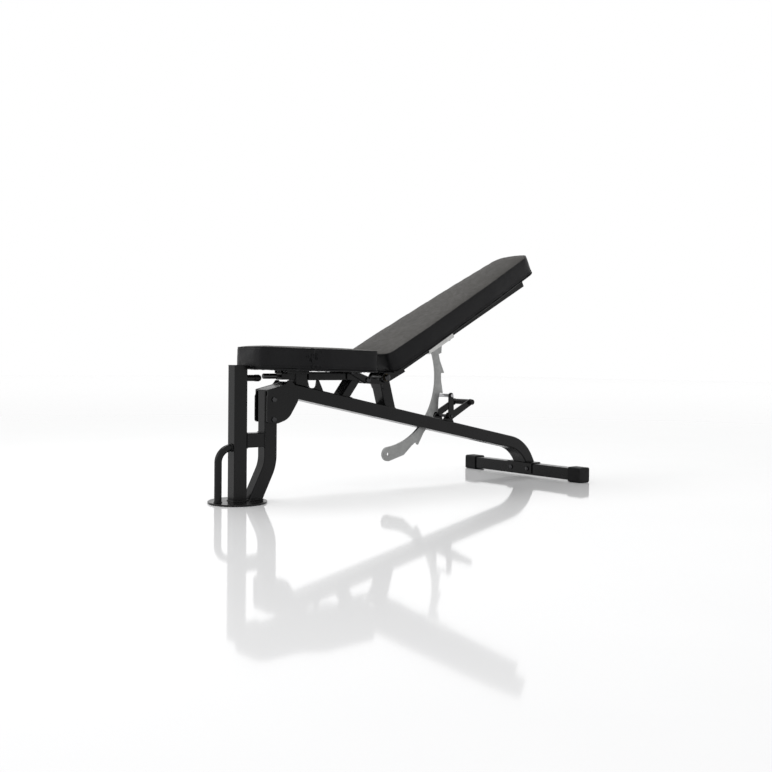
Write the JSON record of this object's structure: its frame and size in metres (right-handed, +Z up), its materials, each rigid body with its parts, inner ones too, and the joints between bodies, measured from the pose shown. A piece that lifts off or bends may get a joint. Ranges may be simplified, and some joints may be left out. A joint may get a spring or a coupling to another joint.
{
  "type": "decline sit up bench",
  "caption": "Adjustable exercise bench with a hinged backrest on a toothed arm, a tilting seat, a sloped beam, a front post on a round plate and a rear crossbar.",
  "frame": {"origin": "on the floor, under the middle of the bounding box", "axes": "+X from the round base plate to the rear crossbar, +Y to the bench's left side, +Z up"},
  "size_m": [1.5785, 0.674, 0.9557],
  "materials": {
    "black_frame": "satin powder coat",
    "black_fastener": "black oxide, satin",
    "zinc_arm": "zinc plated, satin",
    "bright_steel": "polished",
    "spring_steel": "satin",
    "pad_cover": "matte grained vinyl",
    "pad_board": "black backing on plywood",
    "shoe_rubber": "matte",
    "black_plastic": "satin",
    "bronze_bush": "plain"
  },
  "bodies": {
    "frame": {"base_plate": "black_frame", "cheek_plate_left": "black_frame", "cheek_plate_right": "black_frame", "crossbar": "black_frame", "crossbar_cap_left": "shoe_rubber", "crossbar_cap_right": "shoe_rubber", "crossbar_saddle": "black_frame", "front_pipe": "black_frame", "front_post": "black_frame", "gusset_bolts": "black_fastener", "gusset_cover": "black_frame", "gusset_nuts": "black_fastener", "gusset_plate_left": "black_frame", "gusset_plate_right": "black_frame", "gusset_spacers": "black_frame", "hinge_axle": "black_fastener", "hinge_post": "black_frame", "hinge_sleeve": "spring_steel", "lock_ears": "black_frame", "lock_pivot_pin": "black_fastener", "lock_springs": "spring_steel", "main_beam": "black_frame", "pivot_nuts": "black_fastener", "post_liner": "black_plastic", "post_pin_barrel": "black_frame", "post_pin_spring": "spring_steel", "rail_gusset": "black_frame", "rear_tube": "black_frame", "saddle_bolts": "black_fastener", "saddle_nuts": "black_fastener", "seat_pin_housing": "black_frame", "seat_pin_spring": "spring_steel", "seat_pivot_bolt": "black_fastener", "seat_rail": "black_frame", "seat_sleeve": "black_frame", "strut": "black_frame", "tie_tube": "black_frame"},
    "backrest": {"back_tube": "black_frame", "back_tube_cap": "black_plastic", "hinge_lug_left": "black_frame", "hinge_lug_right": "black_frame", "hinge_bushes": "bronze_bush", "back_board": "pad_board", "back_pad": "pad_cover", "mount_bars": "black_frame", "back_screws": "black_fastener", "ratchet_arm": "zinc_arm", "arm_foot": "zinc_arm", "arm_bolts": "black_fastener"},
    "seat": {"seat_pad": "pad_cover", "seat_board": "pad_board", "seat_screws": "black_fastener", "seat_hinge_brackets": "black_frame", "seat_quadrant": "black_frame"},
    "lock_lever": {"lever_plate_left": "black_frame", "lever_plate_right": "black_frame", "lock_pin": "bright_steel", "handle_bar": "black_plastic"},
    "seat_pin": {"seat_pin": "bright_steel"},
    "post_pin": {"post_pin": "black_plastic"}
  },
  "joints": [
    {"name": "recline", "type": "hinge", "parent": "frame", "child": "backrest", "pos_m": [-0.0655, 0, 0.43], "axis": [0, -1, 0], "range_deg": [-28.5, 42.75]},
    {"name": "seat_tilt", "type": "hinge", "parent": "frame", "child": "seat", "pos_m": [-0.1535, 0, 0.42], "axis": [0, 1, 0], "range_deg": [0, 12]},
    {"name": "lock_turn", "type": "hinge", "parent": "frame", "child": "lock_lever", "pos_m": [0.2685, 0, 0.2744], "axis": [0, 1, 0], "range_deg": [-10.5, 6], "stiffness_Nm_per_rad": 40, "springref_deg": -0.86, "deforming": ["lock_springs"]},
    {"name": "seat_pin_slide", "type": "slide", "parent": "frame", "child": "seat_pin", "axis": [-1, 0, 0], "range_m": [-0.01, 0], "stiffness_N_per_m": 600, "deforming": ["seat_pin_spring"]},
    {"name": "post_pin_slide", "type": "slide", "parent": "frame", "child": "post_pin", "axis": [1, 0, 0], "range_m": [0, 0.008], "stiffness_N_per_m": 600, "deforming": ["post_pin_spring"]}
  ]
}
